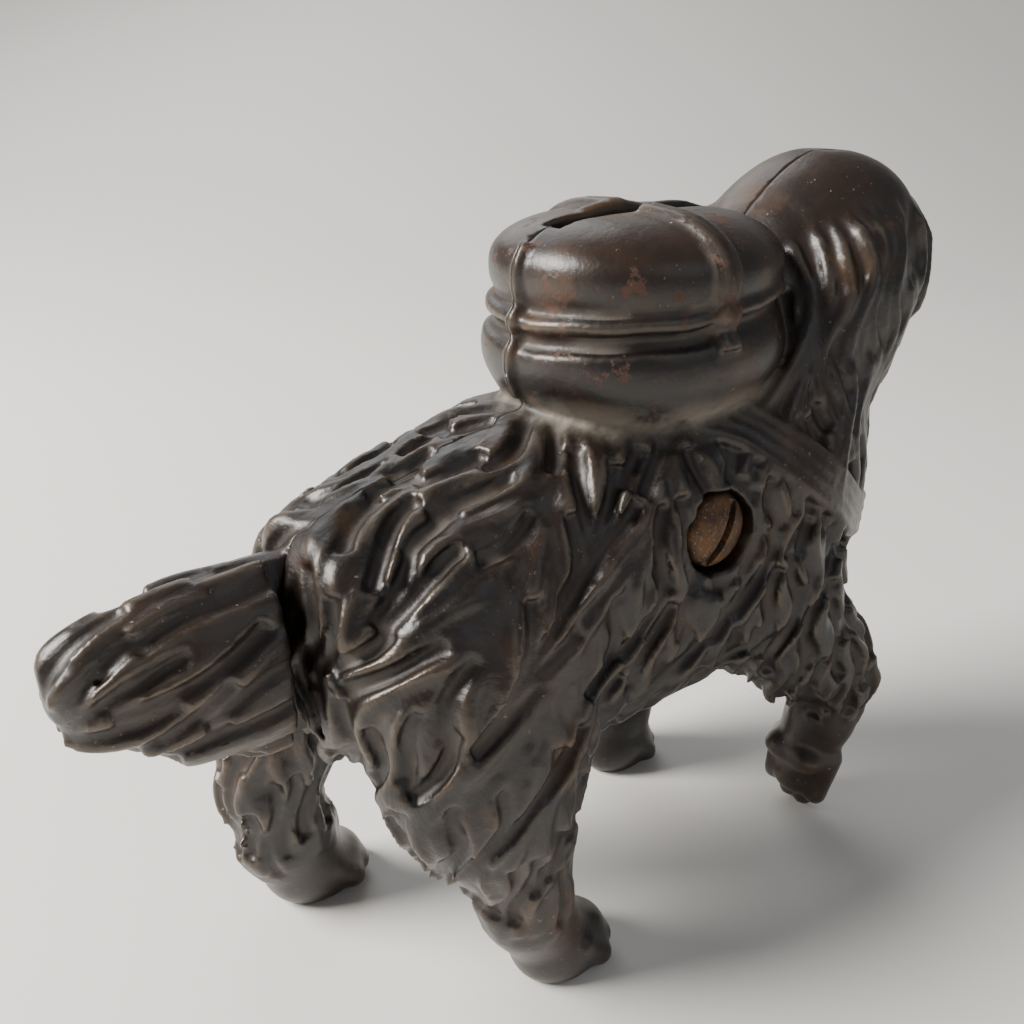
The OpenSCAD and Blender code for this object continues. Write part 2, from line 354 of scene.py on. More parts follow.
legs = ((dog["hindRight"], dog["hindRightFoot"], -1), (dog["hindLeft"], dog["hindLeftFoot"], 1),
        (dog["foreLeft"], dog["foreLeftFoot"], 1), (dog["foreRight"], None, -1))
body = emptyField()
add(body, loft(dog["trunk"], dog["trunkEnds"]), 0)
limb(body, dog["neck"], k=4)
add(body, loft(dog["skull"], dog["skullEnds"]), 4)
buildFace(body)
for stations, foot, side in legs:
    limb(body, stations, side, 3)
    if foot:
        buildFoot(body, foot, side)
    else:
        buildBentPaw(body, side)
for side in (-1, 1):
    (x, y, z), size = dog["ear"]
    add(body, egg((x, side * y, z), size), 2.5)
body = settle(body)

tail = emptyField()
limb(tail, dog["tail"], k=3)
tail = settle(tail)


coatStyle = {
    "seed": 7,
    "sides": 8,             # round a lock
    "steps": 11,            # points along a lock
    "reach": 8.0,           # how far one flow key spreads, in mm
    "along": 0.55,          # spacing of locks as a share of their length
    "across": 1.05,         # and of their width
    "thick": 0.86,
    "lift": 0.8,
    "carved": 0,            # depth instead of height, where a line is cut in
    "ramp": 0.5,            # share of its length in which a lock rises
    "fade": 0.9,            # how far a lock sinks back at its tip
    "inset": 0.55,          # the skin lies this deep under the bank's outline where hair covers it
    "fuse": 0.9,           # fillet between a lock and the skin
    # place x, |y|, z; direction; width, length, height of a lock; how wavy it is
    "flow": [
        ((35, 12, 66), (0.02, 0, -1), 1.6, 12.9, 0.76, 0.8),
        ((25, 18, 52), (-0.1, 0, -1), 1.6, 12.9, 0.71, 0.8),
        ((46, 0, 50), (0, 0, -1), 1.9, 10.3, 0.85, 0.7),
        ((50, 3, 66), (0.1, 0, -1), 1.7, 8.6, 0.76, 0.5),
        ((5, 20, 55), (-0.2, 0, -1), 1.5, 12.0, 0.62, 0.9),
        ((12, 20, 42), (-0.28, 0, -1), 1.5, 11.2, 0.66, 0.9),
        ((-5, 19, 36), (-0.4, 0, -1), 1.6, 11.2, 0.76, 0.8),
        ((5, 12, 29), (-0.55, 0, -0.85), 1.8, 8.6, 0.9, 0.7),
        ((8, 16, 67), (-0.1, 0, -1), 1.2, 6.0, 0.28, 0.4),
        ((0, 17, 62), (-0.25, 0, -1), 1.2, 7.7, 0.4, 0.8),
        ((14, 18, 60), (-0.15, 0, -1), 1.2, 7.7, 0.43, 0.7),
        ((-15, 17, 62), (-0.6, 0.1, -0.8), 1.9, 10.3, 0.85, 0.9),
        ((-22, 15, 61), (-0.75, 0.1, -0.65), 2.1, 11.2, 1, 1.1),
        ((-24, 3, 66), (-1, 0.25, -0.25), 1.7, 7.7, 0.33, 0.4),
        ((-33, 9, 57), (-0.85, 0.2, -0.5), 2.3, 9.5, 1.14, 0.9),
        ((-34, 13, 47), (-0.8, 0, -0.6), 2.4, 9.5, 1.14, 0.9),
        ((-22, 19, 47), (-0.4, 0, -0.9), 2.0, 12.0, 1, 1.2),
        ((-28, 17, 36), (-0.3, 0, -1), 2.0, 12.9, 0.95, 0.8),
        ((-21, 20, 34), (-0.2, 0, -1), 2.0, 12.0, 0.81, 0.9),
        ((-22, 15, 21), (-0.1, 0, -1), 1.5, 9.5, 0.1, 0.4),
        ((-19, 15, 14), (0, 0, -1), 1.5, 7.7, -0.28, 0.4),
        ((-17, 15, 8), (0, 0, -1), 1.4, 4.3, -0.57, 0.2),
        ((26, 18, 40), (0.15, 0, -1), 1.6, 11.2, 0.71, 0.8),
        ((34, 19, 28), (0.35, 0, -0.9), 1.4, 7.7, 0.33, 0.5),
        ((36, 16, 14), (0, 0, -1), 1.2, 4.3, -0.57, 0.2),
        ((21, 12, 18), (0, 0, -1), 1.2, 6.9, 0.1, 0.4),
        ((20, 12, 5), (0, 0, -1), 1.2, 4.3, -0.57, 0.2),
        ((-37, 15, 18), (0, 0, -1), 1.4, 8.6, 0.24, 0.4),
        ((-33, 15, 6), (0, 0, -1), 1.2, 4.3, -0.57, 0.2),
        ((42, 2, 94), (-0.9, 0.4, 0), 1.2, 4.3, -0.38, 0.2),
        ((47, 8, 86), (-0.5, 0.5, -0.6), 1.2, 4.3, -0.28, 0.2),
        ((56, 0, 76), (-0.5, 0, -0.8), 1.2, 4.3, -0.57, 0.2),
        ((43, 11, 73), (-0.4, 0, -0.9), 1.6, 10.3, 0.66, 0.7),
        ((26, 11, 79), (-0.15, 0, -1), 1.6, 11.2, 0.71, 0.7),
        ((33, 4, 90), (-0.6, 0.6, -0.5), 1.3, 5.2, -0.47, 0.4),
        ((29, 9, 86), (-0.3, 0.4, -0.8), 1.4, 6.9, -0.28, 0.4),
        ((25, 4, 80), (-0.4, 0.2, -0.9), 1.6, 8.6, 0.28, 0.5),
    ],
    "tailFlow": [
        ((-48, 5, 50), (-1, 0, -0.42), 2.1, 15, 0.4, 0.3),
        ((-48, 0, 60), (-1, 0, -0.1), 1.8, 12, 0.22, 0.2),
        ((-50, 0, 40), (-0.9, 0, -0.35), 2.4, 12, 0.6, 0.4),
        ((-59, 3, 51), (-0.9, 0, -0.5), 2.0, 9, 0.15, 0.3),
    ],
}


fineStyle = dict(coatStyle, seed=31, across=1.0, along=0.8, thick=0.5, lift=0.5, fade=1.0)
grooveStyle = dict(coatStyle, seed=43, across=1.6, along=1.0, thick=0.45, carved=0.4, fade=1.0)


def flowAt(keys, at, normals, reach):
    place = np.array([k[0] for k in keys], float)
    heading = np.array([k[1] for k in keys], float)
    numbers = np.array([k[2:] for k in keys], float)
    even = at.copy()
    even[:, 1] = np.abs(even[:, 1])
    gap = ((even[:, None, :] - place[None]) ** 2).sum(2)
    weight = np.exp(-gap / (2 * reach * reach)) + 1e-9 / (gap + 1)
    weight /= weight.sum(1, keepdims=True)
    d = weight @ heading
    d[:, 1] *= np.where(at[:, 1] < 0, -1, 1)
    d -= (d * normals).sum(1, keepdims=True) * normals
    d /= np.linalg.norm(d, axis=1, keepdims=True) + 1e-9
    return d, weight @ numbers


def scatter(points, headings, sizes, style, random):
    # thins points so that no two locks start closer than their spacing
    order = random.permutation(len(points))
    taken, buckets, box = [], {}, 4.0
    for i in order:
        p, d = points[i], headings[i]
        along, across = style["along"] * sizes[i][1], style["across"] * sizes[i][0]
        key = tuple(int(v // box) for v in p)
        free = True
        steps = (-1, 0, 1)
        around = [(key[0] + a, key[1] + b, key[2] + c) for a in steps for b in steps for c in steps]
        for n in around:
            for q in buckets.get(n, ()):
                v = p - q
                run = float(v @ d)
                if (run / along) ** 2 + max(float(v @ v) - run * run, 0) / across ** 2 < 1:
                    free = False
                    break
            if not free:
                break
        if free:
            buckets.setdefault(key, []).append(p)
            taken.append(i)
    return np.array(taken)


def trace(field, starts, keys, style, random):
    # walks every lock over the surface at once; gives its middle line and its radii
    steps = style["steps"]
    p = starts.copy()
    n = outward(field, p)
    wide, long, high, wave = flowAt(keys, p, n, style["reach"])[1].T
    wide, long = wide * random.uniform(0.75, 1.25, len(p)), long * random.uniform(0.7, 1.3, len(p))
    phase = random.uniform(0, 6.28, len(p))
    radius = wide * 0.5 * style["thick"]
    line, radii = [], []
    for i in range(steps):
        t = i / (steps - 1)
        fall = style["fade"] * max((t - 0.5) / 0.5, 0) ** 1.6
        rise = math.sin(min(t / style["ramp"], 1) * math.pi / 2) ** 2 * (1 - fall)
        r = radius * (0.4 + 0.6 * rise)
        lift = high * rise * style["lift"] - 0.6 * (1 - rise)
        # locks sink away round the screw's recess, on the right side
        bare = np.clip((np.hypot(p[:, 0] - screwX, p[:, 2] - screwZ) - 5.4) / 2.5, 0, 1)
        lift = np.where(p[:, 1] < 0, lift * bare - 0.5 * (1 - bare), lift)
        if style["carved"]:
            lift = 2 * r - style["carved"] * high * rise + 0.2 * (1 - rise)
        line.append(p + n * (lift - r)[:, None])
        radii.append(r)
        d, _ = flowAt(keys, p, n, style["reach"])
        shared = np.sin(0.5 * (p[:, 2] - 0.8 * p[:, 0]) + 0.2 * np.abs(p[:, 1]))
        sway = wave * (0.7 * shared + 0.16 * np.cos(phase + 5 * t))
        d = d + np.cross(n, d) * (sway * np.where(p[:, 1] < 0, 1, -1))[:, None]
        p = p + d / np.linalg.norm(d, axis=1, keepdims=True) * (long / (steps - 1))[:, None]
        for _ in range(2):
            n = outward(field, p)
            p = p - n * np.clip(sample(field, p), -2, 2)[:, None]
    keep = high > 0.04
    return np.stack(line, 1)[keep], np.stack(radii, 1)[keep]


def sweepTree(name, material=None):
    tree = bpy.data.node_groups.new(name, "GeometryNodeTree")
    face = tree.interface
    face.new_socket("Geometry", in_out="INPUT", socket_type="NodeSocketGeometry")
    sides = face.new_socket("Sides", in_out="INPUT", socket_type="NodeSocketInt")
    thick = face.new_socket("Thickness", in_out="INPUT", socket_type="NodeSocketFloat")
    face.new_socket("Geometry", in_out="OUTPUT", socket_type="NodeSocketGeometry")
    sides.default_value, sides.min_value = 8, 3
    thick.default_value = 1.0
    node, link = tree.nodes.new, tree.links.new
    given, out = node("NodeGroupInput"), node("NodeGroupOutput")
    toCurve, radius = node("GeometryNodeMeshToCurve"), node("GeometryNodeSetCurveRadius")
    stored, sized = node("GeometryNodeInputNamedAttribute"), node("ShaderNodeMath")
    ring, tube = node("GeometryNodeCurvePrimitiveCircle"), node("GeometryNodeCurveToMesh")
    real, finish = node("GeometryNodeRealizeInstances"), node("GeometryNodeSetMaterial")
    stored.data_type = "FLOAT"
    stored.inputs["Name"].default_value = "thickness"
    sized.operation = "MULTIPLY"
    ring.inputs["Radius"].default_value = 1.0
    tube.inputs["Fill Caps"].default_value = True
    finish.inputs["Material"].default_value = material
    link(given.outputs["Geometry"], toCurve.inputs["Mesh"])
    link(toCurve.outputs["Curve"], radius.inputs["Curve"])
    link(stored.outputs["Attribute"], sized.inputs[0])
    link(given.outputs["Thickness"], sized.inputs[1])
    link(sized.outputs[0], radius.inputs["Radius"])
    link(given.outputs["Sides"], ring.inputs["Resolution"])
    link(radius.outputs["Curve"], tube.inputs["Curve"])
    link(ring.outputs["Curve"], tube.inputs["Profile Curve"])
    link(tube.outputs["Mesh"], real.inputs["Geometry"])
    link(real.outputs["Geometry"], finish.inputs["Geometry"])
    link(finish.outputs["Geometry"], out.inputs["Geometry"])
    return tree, {"Sides": sides.identifier, "Thickness": thick.identifier}


strandTree, strandInputs = sweepTree("strand sweep")


def swept(name, lines, radii, sides=8, loop=False):
    # tubes along lines of points, as triangles in mm
    mesh = bpy.data.meshes.new(name)
    points, edges, thick = [], [], []
    for line, r in zip(lines, radii):
        first = len(points)
        points += [tuple(float(c) for c in p) for p in line]
        thick += [float(v) for v in r]
        edges += [(i, i + 1) for i in range(first, len(points) - 1)]
        if loop:
            edges.append((len(points) - 1, first))
    mesh.from_pydata(points, edges, [])
    mesh.attributes.new("thickness", "FLOAT", "POINT").data.foreach_set("value", thick)
    obj = bpy.data.objects.new(name, mesh)
    bpy.context.collection.objects.link(obj)
    sweep = obj.modifiers.new("sweep", "NODES")
    sweep.node_group = strandTree
    sweep[strandInputs["Sides"]] = sides
    sweep[strandInputs["Thickness"]] = 1.0
    view = bpy.context.evaluated_depsgraph_get()
    made = bpy.data.meshes.new_from_object(obj.evaluated_get(view))
    bpy.data.objects.remove(obj)
    made.calc_loop_triangles()
    at = np.empty(len(made.vertices) * 3, np.float32)
    made.vertices.foreach_get("co", at)
    tris = np.empty(len(made.loop_triangles) * 3, np.int32)
    made.loop_triangles.foreach_get("vertices", tris)
    bpy.data.meshes.remove(made)
    return at.reshape(-1, 3), tris.reshape(-1, 3)


def tubesField(name, lines, radii, sides=8, loop=False):
    points, tris = swept(name, lines, radii, sides, loop)
    return distanceTo((points - gridLow) / cell, tris)


def coatOver(field, keys, style, clear):
    random = np.random.default_rng(style["seed"])
    points, _, _ = surfaceOf(field)
    points = points * cell + gridLow
    points = points[random.permutation(len(points))[:30000]]
    points = points[clear(points)]
    normals = outward(field, points)
    headings, sizes = flowAt(keys, points, normals, style["reach"])
    chosen = scatter(points, headings, sizes, style, random)
    lines, radii = trace(field, points[chosen], keys, style, random)
    print("locks", len(lines))
    return tubesField("locks", lines, radii, style["sides"])


def skinUnder(field):
    # hair stands out from a skin that lies a little deeper; feet, face and crown are bare
    muzzle = np.clip((wholeX - 36) / 6, 0, 1) * np.clip((wholeZ - 74) / 6, 0, 1)
    furry = np.clip((wholeZ - 10) / 8, 0, 1) * (1 - muzzle)
    crown = np.clip((wholeX - 26) / 4, 0, 1) * np.clip((wholeZ - 86) / 3, 0, 1)
    return field + coatStyle["inset"] * furry * (1 - crown)


def onCoat(p):
    return (sample(packField, p) > 0.4) & (p[:, 2] > 4) & (p[:, 0] < 62)


def onTail(p):
    return p[:, 0] < -36


def coated(field, keys, clear):
    # locks, finer locks between them, then fine grooves
    made = field
    for style, fillet in ((coatStyle, coatStyle["fuse"]), (fineStyle, 0.6)):
        made = smoothMin(made, coatOver(field, keys, style, clear), fillet)
    return smoothMax(made, -coatOver(field, keys, grooveStyle, clear), 0.7)


print("growing the coat")
body = settle(skinUnder(body))
coat = coated(body, coatStyle["flow"], onCoat)
tailCoat = coated(tail + coatStyle["inset"], coatStyle["tailFlow"], onTail)


earStyle = {
    "seed": 21,
    "strands": 11,
    "front": 46.5,          # ends of the row of strands along the head
    "back": 26.5,
    "top": 90.5,
    "long": 27.0,
    "wide": 2.0,
    "high": 1.3,
}


def earCurtain(field):
    random = np.random.default_rng(earStyle["seed"])
    starts = []
    for side in (-1, 1):
        for layer in (0, 1, 2):
            for i in range(earStyle["strands"]):
                t = (i + 0.5 * (layer % 2)) / (earStyle["strands"] - 1)
                if t > 1:
                    continue
                x = earStyle["back"] + (earStyle["front"] - earStyle["back"]) * t
                arch = 1 - (2 * t - 1) ** 4
                y, z = 7 + 4 * arch + layer, earStyle["top"] - 4 + 3 * arch - 7.5 * layer
                starts.append((x, side * y, z))
    p = np.array(starts, float)
    for _ in range(3):
        p = p - outward(field, p) * sample(field, p)[:, None]
    size = (earStyle["wide"], earStyle["long"] * 0.8, earStyle["high"], 0.75)
    keys = [((26, 13, 76), (-0.16, 0, -1)) + size, ((35, 14, 76), (-0.02, 0, -1)) + size,
            ((44, 12, 76), (0.1, 0, -1)) + size]
    style = dict(coatStyle, steps=14, reach=6.0, thick=0.92, ramp=0.16, fade=0.75)
    lines, radii = trace(field, p, keys, style, random)
    return tubesField("ear strands", lines, radii, 10)


harness = {
    "keys": [(7, 14.6, 73), (12, 16, 69), (17, 18.6, 64.5), (22, 19.6, 60), (27, 19.6, 56), (32, 18, 52),
             (37, 15, 49.5), (41.5, 10.5, 47.5), (44.5, 5, 46.3), (45.5, -1.5, 46)],
    "ribs": 4,
    "pitch": 1.55,
    "rib": 0.8,             # radius of a rib
    "high": 0.4,            # middle of a rib over the hair
}


def smoothLine(keys, count):
    keys = np.array(keys, float)
    run = np.concatenate([[0], np.cumsum(np.linalg.norm(np.diff(keys, axis=0), axis=1))])
    at = np.linspace(0, run[-1], count)
    return np.stack([curveThrough(list(zip(run, keys[:, i])), at) for i in range(3)], 1)


def harnessBands(field):
    lines, radii = [], []
    for side in (-1, 1):
        middle = smoothLine(harness["keys"], 60) * (1, side, 1)
        for _ in range(3):
            n = outward(field, middle)
            middle = middle - n * sample(field, middle)[:, None]
        ahead = np.gradient(middle, axis=0)
        ahead /= np.linalg.norm(ahead, axis=1, keepdims=True)
        across = np.cross(n, ahead)
        for i in range(harness["ribs"]):
            off = (i - (harness["ribs"] - 1) / 2) * harness["pitch"]
            p = middle + across * off
            for _ in range(2):
                m = outward(field, p)
                p = p - m * np.clip(sample(field, p), -2, 2)[:, None]
            lines.append(p + m * (harness["high"] - harness["rib"] * 0.35))
            radii.append(np.full(len(p), harness["rib"]))
    return tubesField("harness ribs", lines, radii, 10)


def packTrim(field):
    # belt round the pack with a crease under it, cross strap, and the bead on the rear seam
    turn = np.linspace(0, 2 * math.pi, 160, endpoint=False)
    n = 2 / pack["square"]
    c, s = np.cos(turn), np.sin(turn)
    a, b = pack["length"] / 2, pack["width"] / 2
    height = pack["belt"] + 0.07 * a * c + 0.15 * np.sin(5 * turn + 1) + 0.08 * np.sin(11 * turn)
    ring = np.stack([pack["middle"] + a * np.sign(c) * np.abs(c) ** n,
                     b * np.sign(s) * np.abs(s) ** n, height], 1)
    for _ in range(4):
        m = outward(field, ring)
        m[:, 2] = 0
        m /= np.linalg.norm(m, axis=1, keepdims=True) + 1e-9
        ring = ring - m * sample(field, ring)[:, None]
    thick = pack["beltRadius"] * (1 + 0.06 * np.sin(9 * turn + 2))
    belt = tubesField("belt", [ring + m * 0.05], [thick], 14, loop=True)
    under = ring + m * 0.9 - (0, 0, pack["beltRadius"] + 0.15)
    crease = tubesField("crease", [under], [thick * 0.16], 8, loop=True)
    field = smoothMin(field, belt, 0.4)
    field = smoothMax(field, -crease, 0.5)
    lines, radii = [], []
    for side in (-1, 1):
        x = pack["strapAt"]
        drop = smoothLine([(x, side * 2.6, 90.5), (x, side * 8, 89.5), (x, side * 13.4, 86),
                           (x + 0.2, side * 15, 82), (x + 0.3, side * 16.5, 80),
                           (x + 0.4, side * 16.4, 77)], 40)
        for _ in range(3):
            m = outward(field, drop)
            drop = drop - m * sample(field, drop)[:, None]
        fade = 1 - 0.7 * np.clip((np.arange(40) - 33) / 6, 0, 1)
        for off, r, high in ((0, 0.75, -0.5), (-0.65, 0.3, -0.05), (0.65, 0.3, -0.05)):
            lines.append(drop + m * (high + 0.15) * fade[:, None] + (off, 0, 0))
            radii.append(r * fade)
    back = smoothLine([(-10, 0, 70), (-10.8, 0, 74), (-11, 0, 78), (-10.6, 0, 82), (-9.8, 0, 85.5),
                       (-8.4, 0, 88)], 40)
    for _ in range(3):
        m = outward(field, back)
        back = back - m * sample(field, back)[:, None]
    lines.append(back - m * 0.12)
    radii.append(np.full(40, 0.28))
    return smoothMin(field, tubesField("straps", lines, radii, 8), 0.35)


print("putting on the harness, the ears and the pack")
ears = earCurtain(body)
coat = smoothMin(coat, ears, 0.4)
coat = smoothMin(coat, harnessBands(body), 0.25)
packField = packTrim(packField)
# the bulged lips of the slot
add(packField, egg((6.2, 2.7, 89.8), (5.0, 1.3, 0.95)), 0.4)
add(packField, egg((14.5, 2.3, 89.4), (4.4, 1.3, 0.8)), 0.4)
coat = smoothMin(coat, packField, 0.6)
coat = settle(coat)
tailCoat = settle(tailCoat)
carve(tailCoat, bar((-57.6, -5.2, 56.2), (-59.6, -3.4, 53.4), 0.5, 0.3), 0.3)
carve(coat, egg((-20.6, -21.2, 22.5), (1.1, 1.1, 1.3)), 0.3)
carve(coat, egg((-6.5, -15.6, 74.3), (0.7, 0.8, 0.6)), 0.3)


casting = {
    "wall": 3.0,
    "hairline": 0.035,      # half the gap between the halves
    "rimRound": 0.1,
    "tailFrom": -41.6,      # behind this the tail is whole and belongs to the left half
    "tailGap": 0.6,
    "slot": (25.0, 2.8),
    "slotAt": 8.0,
    "boss": 5.6,
    "pad": 7.4,
    "recess": 5.0,
    "clearHole": 2.6,
    "tappedHole": 2.45,
    "tappedDepth": 13.5,
    "lugs": ((-17, 1), (2, -1), (37, -1)),   # place along the body; 1 for the back, -1 for the belly
    "lugHigh": (63.2, 68.1),
    "lugLow": (30.5, 34.2),
    "lugLong": 7.0,
    "lugProud": 3.0,
    "lugClear": 0.4,
}


def cylinderY(x, z, r, y0, y1):
    def distance(u, v, w):
        round_ = np.sqrt((u - x) ** 2 + (w - z) ** 2) - r
        return smoothMax(round_, np.maximum(y0 - v, v - y1), 0)
    return (x - r, y0, z - r), (x + r, y1, z + r), distance


def block(lo, hi):
    middle, half = (np.array(lo, float) + hi) / 2, (np.array(hi, float) - lo) / 2

    def distance(x, y, z):
        return np.maximum(np.maximum(np.abs(x - middle[0]) - half[0], np.abs(y - middle[1]) - half[1]),
                          np.abs(z - middle[2]) - half[2])
    return lo, hi, distance


def coinRoom():
    room = trunk.copy()
    limb(room, dog["muzzle"], k=2.5)
    room = settle(room)
    inner = emptyField()
    buildPack(inner, casting["wall"])
    return np.minimum(room + casting["wall"], inner)


def lugs():
    # three tongues on the left half that reach into the right one
    field = emptyField()
    for x, up in casting["lugs"]:
        z0, z1 = casting["lugHigh"] if up > 0 else casting["lugLow"]
        reach = casting["lugLong"] / 2
        add(field, block((x - reach, -casting["lugProud"], z0), (x + reach, 3.6, z1)), 0.3)
    return np.maximum(field, np.where(wholeY < 0.1, room + casting["lugClear"], coat + 1.0))


def half(side):
    # the rind between the coat and the coin room, cut at the parting plane
    parting = casting["hairline"] - side * wholeY
    outer = coat if side < 0 else smoothMin(coat, np.where(wholeY > 0, tailCoat, far), 1.0)
    field = smoothMax(outer, parting, casting["rimRound"])
    field = smoothMax(field, -room, 0.4)
    if side > 0:
        field = smoothMin(field, lugs(), 0.3)
    boss = emptyField()
    if side < 0:
        add(boss, cylinderY(screwX, screwZ, casting["boss"], seat, -0.3), 0)
        add(boss, cylinderY(screwX, screwZ, casting["pad"], seat - 1.5, seat + 3), 0)
    else:
        add(boss, cylinderY(screwX, screwZ, casting["boss"], 0.3, 19), 0)
    boss = smoothMax(boss, coat + 0.4, 0)
    field = smoothMin(field, boss, 0.8)
    if side < 0:
        carve(field, cylinderY(screwX, screwZ, casting["recess"], -25, seat), 0.5)
        carve(field, cylinderY(screwX, screwZ, casting["clearHole"], -25, 2), 0.3)
    else:
        carve(field, cylinderY(screwX, screwZ, casting["tappedHole"], -1, casting["tappedDepth"]), 0.3)
    long, wide = casting["slot"]
    middle = casting["slotAt"]
    carve(field, block((middle - long / 2, -wide / 2, 84), (middle + long / 2, wide / 2, 96)), 0.45)
    if side > 0:
        # behind the rump the tail is whole, and clear of the right half
        behind = wholeX - casting["tailFrom"]
        free = smoothMax(smoothMax(tailCoat, behind, 0.3), casting["tailGap"] - coat, 0.3)
        free = np.where(wholeY > 1.5, np.maximum(tailCoat, behind), free)
        field = smoothMin(field, free, 0.0)
    lo, hi = np.array(cadBox[0]) / mm + 0.03, np.array(cadBox[1]) / mm - 0.03
    lo[2] = float(cadBox[0][2]) / mm
    for axis, place in ((0, wholeX), (1, wholeY), (2, wholeZ)):
        field = np.maximum(field, np.maximum(lo[axis] - place, place - hi[axis]))
    return field


def crispRim(points, side):
    # the grid rounds the rims of the parting face; this puts them back on the plane and on the outline
    y = side * casting["hairline"]
    rim = (np.abs(points[:, 1] - y) < 0.7 * cell) & (points[:, 0] > casting["tailFrom"] + 1)
    p = points[rim]
    p[:, 1] = y
    for _ in range(3):
        n = outward(coat, p)
        n[:, 1] = 0
        away = sample(coat, p)
        near = np.abs(away) < 0.8 * cell
        p -= n * np.where(near, away, 0)[:, None]
    points[rim] = p
    return points


def meshOf(name, field, side=0, limit=196000):
    points, tris, quads = surfaceOf(field)
    points = points * cell + gridLow
    if side:
        points = crispRim(points, side)
    inside = 0.04
    low, high = np.array(cadBox[0]) / mm + (inside, inside, 0), np.array(cadBox[1]) / mm - inside
    points = np.clip(points, low, high) * mm
    mesh = bpy.data.meshes.new(name)
    faces = [tuple(int(i) for i in f) for f in quads] + [tuple(int(i) for i in f) for f in tris]
    a, b, c = points[quads[:, 0]], points[quads[:, 1]], points[quads[:, 2]]
    d = points[quads[:, 3]]
    volume = (np.einsum("ij,ij->i", a, np.cross(b, c)) + np.einsum("ij,ij->i", a, np.cross(c, d))).sum()
    if volume < 0:
        faces = [f[::-1] for f in faces]
    mesh.from_pydata([tuple(p) for p in points.tolist()], [], faces)
    mesh.update()
    obj = bpy.data.objects.new(name, mesh)
    bpy.context.collection.objects.link(obj)
    count = 2 * len(quads) + len(tris)
    if count > limit:
        thin = obj.modifiers.new("thin", "DECIMATE")
        thin.ratio = limit / count
        view = bpy.context.evaluated_depsgraph_get()
        obj.data = bpy.data.meshes.new_from_object(obj.evaluated_get(view))
        obj.modifiers.clear()
        bpy.data.meshes.remove(mesh)
    obj.data.shade_smooth()
    print(name, count, "triangles", len(obj.data.vertices), "points")
    return obj


def tone(obj):
    # what the paint reads: how proud or sunk a point is, the dust it gathers, and the lie of the hair
    mesh = obj.data
    at = np.empty(len(mesh.vertices) * 3)
    mesh.vertices.foreach_get("co", at)
    at = at.reshape(-1, 3) / mm
    proud = sample(soft, at) * 1.1
    nearPack = np.clip(1 - np.abs(at[:, 2] - pack["bottom"]) / 3.2, 0, 1) * np.clip(
        1 - (sample(packSmooth, at) - 0.4) / 2.6, 0, 1)
    onPack = np.clip(0.8 - sample(packSmooth, at), 0, 1) * (at[:, 2] > pack["bottom"] + 0.3)
    n = outward(body, at)
    lie, sizes = flowAt(coatStyle["flow"], at, n, coatStyle["reach"])
    tailPart = at[:, 0] < -39.5
    lie[tailPart] = (-0.93, 0, -0.36)
    hair = at - 0.93 * lie * ((at - (0, 0, 50)) * lie).sum(1, keepdims=True)
    furred = np.clip(sizes[:, 2] / 0.6, 0, 1) * (1 - onPack) * (sample(room, at) > 1.6)
    for name, values in (("proud", proud), ("dust", nearPack), ("onPack", onPack), ("furred", furred)):
        mesh.attributes.new(name, "FLOAT", "POINT").data.foreach_set("value", values.astype(np.float32))
    lay = mesh.attributes.new("hair", "FLOAT_VECTOR", "POINT")
    lay.data.foreach_set("vector", hair.astype(np.float32).ravel())


print("casting the halves")
carve(coat, cylinderY(screwX, screwZ, 6.2, -26, headTop - 0.35), 2.2)
room = coinRoom()
packSmooth = packField
everything = np.minimum(coat, tailCoat)
soft = blurred(everything, 3) - everything
rightCasting = meshOf("right_casting", half(-1), -1)
leftCasting = meshOf("left_casting", half(1), 1)
for obj in (rightCasting, leftCasting):
    tone(obj)


screw = {
    "domed": 0.72,          # share of the head's height that is domed
    "slotWide": 1.2,
    "slotDeep": 1.3,
    "slotTurn": 62,         # degrees from the bank's length
    "core": 1.85,
    "pitch": 1.06,
    "threadFrom": 2.0,      # plain shank under the head, up to here along Y
    "around": 48,
    "perTurn": 12,
}


